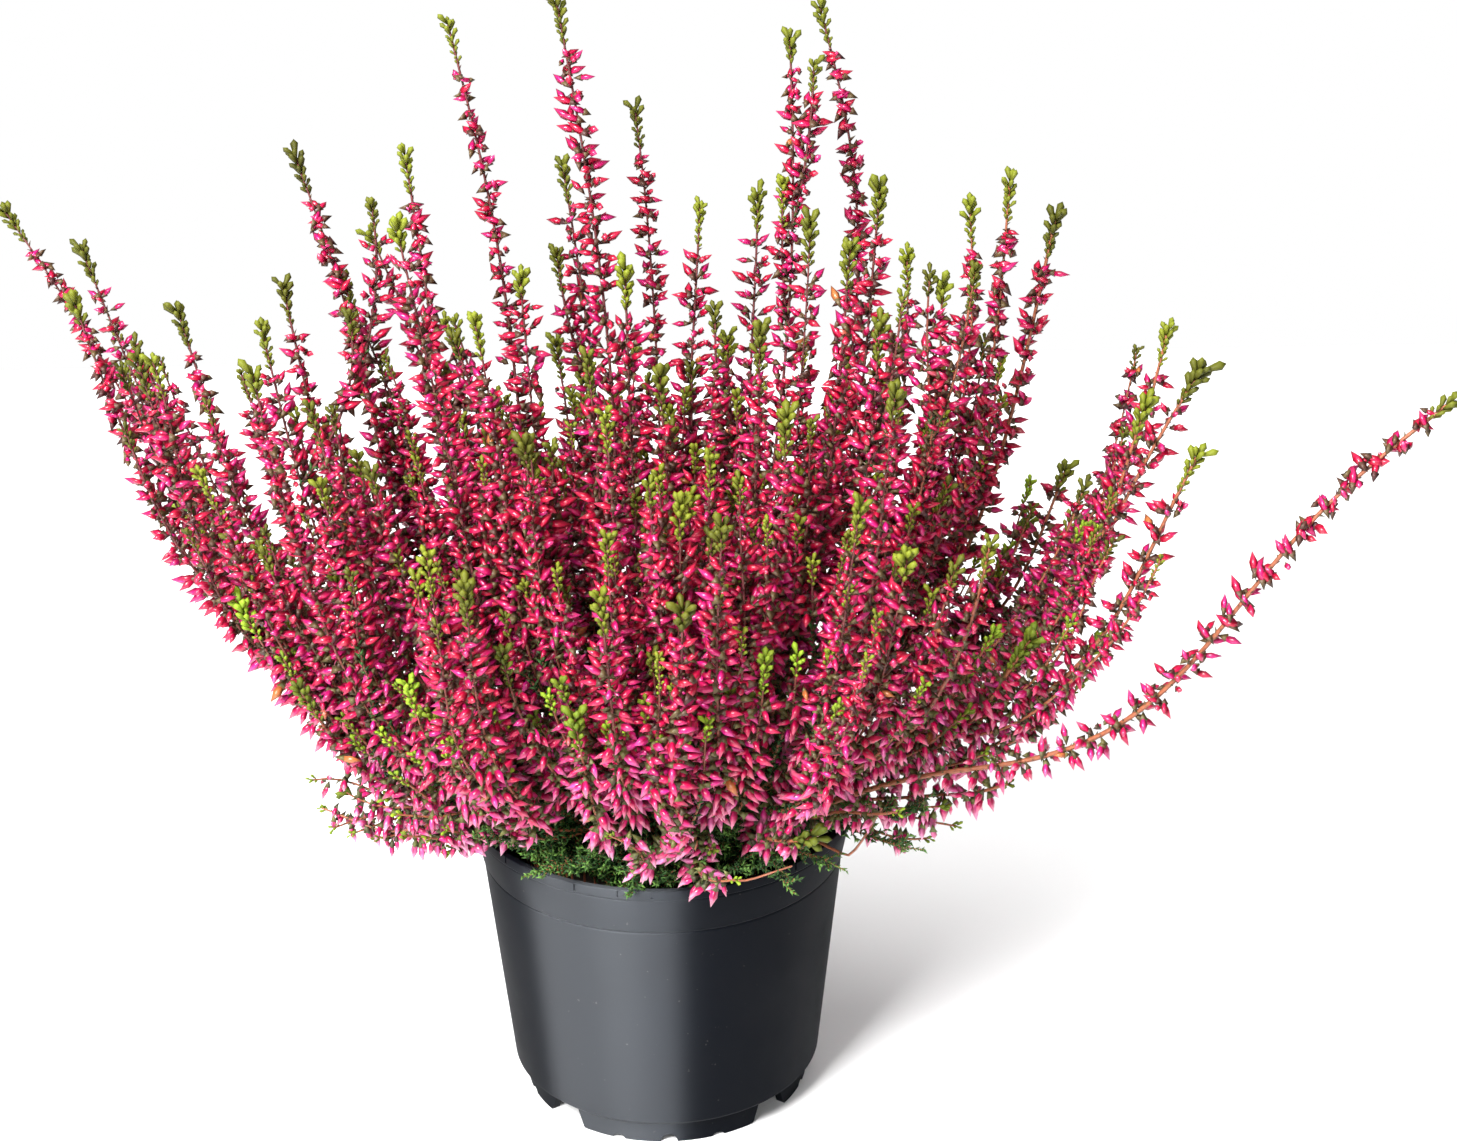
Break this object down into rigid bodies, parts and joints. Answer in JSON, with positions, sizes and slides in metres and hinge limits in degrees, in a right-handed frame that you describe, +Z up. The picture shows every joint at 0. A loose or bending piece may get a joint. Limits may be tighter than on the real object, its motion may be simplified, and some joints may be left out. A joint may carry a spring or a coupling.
{
  "type": "potted heather",
  "caption": "Bud-flowering heather in a round plastic nursery pot: slender crimson flowering shoots in a wide bush over low dark green sprays.",
  "frame": {"origin": "the pot's axis, on the surface that its feet stand on", "axes": "+Z up, -Y to the front that the picture shows, +X to the right of that view"},
  "size_m": [0.4105, 0.2107, 0.3428],
  "materials": {
    "pot_plastic": "satin",
    "compost": "matte",
    "flowering_shoots": "satin",
    "leafy_shoots": "satin"
  },
  "bodies": {
    "root": {"pot": "pot_plastic", "compost": "compost", "shoots_back_1": "flowering_shoots", "shoots_back_10": "flowering_shoots", "shoots_back_2": "flowering_shoots", "shoots_back_3": "flowering_shoots", "shoots_back_4": "flowering_shoots", "shoots_back_5": "flowering_shoots", "shoots_back_6": "flowering_shoots", "shoots_back_7": "flowering_shoots", "shoots_back_8": "flowering_shoots", "shoots_back_9": "flowering_shoots", "shoots_centre": "flowering_shoots", "shoots_centre_back": "flowering_shoots", "shoots_centre_front": "flowering_shoots", "shoots_centre_low": "flowering_shoots", "shoots_front_fringe": "flowering_shoots", "shoots_front_high": "flowering_shoots", "shoots_front_left": "flowering_shoots", "shoots_front_left_high": "flowering_shoots", "shoots_front_left_low": "flowering_shoots", "shoots_front_left_wide": "flowering_shoots", "shoots_front_low": "flowering_shoots", "shoots_front_middle": "flowering_shoots", "shoots_front_right": "flowering_shoots", "shoots_front_right_low": "flowering_shoots", "shoots_left_centre": "flowering_shoots", "shoots_left_far": "flowering_shoots", "shoots_left_fringe": "flowering_shoots", "shoots_left_inner": "flowering_shoots", "shoots_left_low": "flowering_shoots", "shoots_left_middle": "flowering_shoots", "shoots_left_outer": "flowering_shoots", "shoots_left_skirt": "flowering_shoots", "shoots_left_tall": "flowering_shoots", "shoots_left_upper": "flowering_shoots", "shoots_right_centre": "flowering_shoots", "shoots_right_fringe": "flowering_shoots", "shoots_right_front": "flowering_shoots", "shoots_right_high": "flowering_shoots", "shoots_right_inner": "flowering_shoots", "shoots_right_low": "flowering_shoots", "shoots_right_middle": "flowering_shoots", "shoots_right_outer": "flowering_shoots", "shoots_right_skirt": "flowering_shoots", "shoots_right_stray": "flowering_shoots", "shoots_right_tall": "flowering_shoots", "shoots_right_wide": "flowering_shoots", "shoots_tall_far_right": "flowering_shoots", "shoots_tall_left": "flowering_shoots", "shoots_tall_middle": "flowering_shoots", "shoots_tall_right": "flowering_shoots", "leafy_spray_1": "leafy_shoots", "leafy_spray_2": "leafy_shoots", "leafy_spray_3": "leafy_shoots", "leafy_spray_4": "leafy_shoots", "leafy_spray_5": "leafy_shoots", "leafy_spray_6": "leafy_shoots", "leafy_spray_7": "leafy_shoots"}
  },
  "joints": []
}
